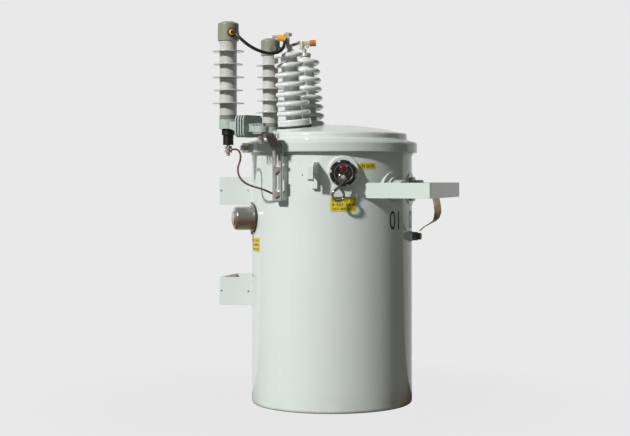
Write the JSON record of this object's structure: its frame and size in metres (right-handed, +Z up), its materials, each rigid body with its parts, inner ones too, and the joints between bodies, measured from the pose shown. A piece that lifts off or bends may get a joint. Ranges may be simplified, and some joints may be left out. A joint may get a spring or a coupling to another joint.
{
  "type": "pole mounted transformer",
  "caption": "Cylindrical oil-filled distribution transformer with ribbed high-voltage bushings, surge arresters on side brackets, low-voltage terminals and pole hangers.",
  "frame": {"origin": "centre of the tank's underside, on the floor", "axes": "+Z up the tank's axis; +X towards the low-voltage terminals, -X towards the pole hangers"},
  "size_m": [0.6425, 0.6426, 1.07],
  "materials": {
    "tank_paint": "gloss grey-green enamel, lightly weathered",
    "porcelain": "glazed porcelain",
    "gasket_rubber": "matte",
    "tinned_brass": "tinned, dull",
    "yellow_sleeve": "satin",
    "arrester_polymer": "satin silicone",
    "collar_cream": "satin",
    "cap_taupe": "moulded, satin",
    "arm_green": "moulded",
    "black_plastic": "moulded",
    "galvanised": "hot-dip galvanised",
    "ground_steel": "dull",
    "copper": "tarnished copper",
    "stainless": "polished stainless",
    "chrome": "bright plate",
    "red_lens": "clear gloss",
    "lv_epoxy": "moulded, satin",
    "lead_rubber": "satin"
  },
  "bodies": {
    "transformer": {"arrester_arm_1": "arm_green", "arrester_arm_2": "arm_green", "arrester_base_1": "galvanised", "arrester_base_2": "galvanised", "arrester_body_1": "arrester_polymer", "arrester_body_2": "arrester_polymer", "arrester_cap_1": "cap_taupe", "arrester_cap_2": "cap_taupe", "arrester_collar_1": "collar_cream", "arrester_collar_2": "collar_cream", "arrester_disconnector_1": "black_plastic", "arrester_disconnector_2": "black_plastic", "arrester_stud_1": "galvanised", "arrester_stud_2": "galvanised", "band_bolt": "galvanised", "bracket_bolts_1": "galvanised", "bracket_bolts_2": "galvanised", "bracket_strap_1": "galvanised", "bracket_strap_2": "galvanised", "breaker_boss": "tank_paint", "breaker_faceplate": "chrome", "breaker_lens": "red_lens", "breaker_locknut": "black_plastic", "cover_band": "tank_paint", "ground_boss": "ground_steel", "ground_strap": "copper", "ground_stud": "copper", "ground_wire_1": "copper", "ground_wire_2": "copper", "hv_bushing_1": "porcelain", "hv_bushing_2": "porcelain", "hv_gasket_1": "gasket_rubber", "hv_gasket_2": "gasket_rubber", "hv_terminal_1": "tinned_brass", "hv_terminal_2": "tinned_brass", "jumper_lead_1": "lead_rubber", "jumper_lead_2": "lead_rubber", "lead_sleeve_1": "yellow_sleeve", "lead_sleeve_2": "yellow_sleeve", "lifting_lug_1": "tank_paint", "lifting_lug_2": "tank_paint", "lv_bushing_1": "lv_epoxy", "lv_bushing_2": "lv_epoxy", "lv_bushing_3": "lv_epoxy", "lv_guard": "tank_paint", "lv_terminal_1": "tinned_brass", "lv_terminal_2": "tinned_brass", "lv_terminal_3": "tinned_brass", "pole_hanger_lower": "tank_paint", "pole_hanger_upper": "tank_paint", "side_bracket_1": "tank_paint", "side_bracket_2": "tank_paint", "tank_body": "tank_paint", "tank_cover": "tank_paint", "tap_changer_cover": "stainless", "tap_changer_gasket": "gasket_rubber"},
    "handle": {"breaker_handle": "chrome"}
  },
  "joints": [
    {"name": "handle_turn", "type": "hinge", "parent": "transformer", "child": "handle", "pos_m": [0.07862, -0.21458, 0.641], "axis": [0.3584, -0.9336, 0], "range_deg": [0, 75]}
  ]
}
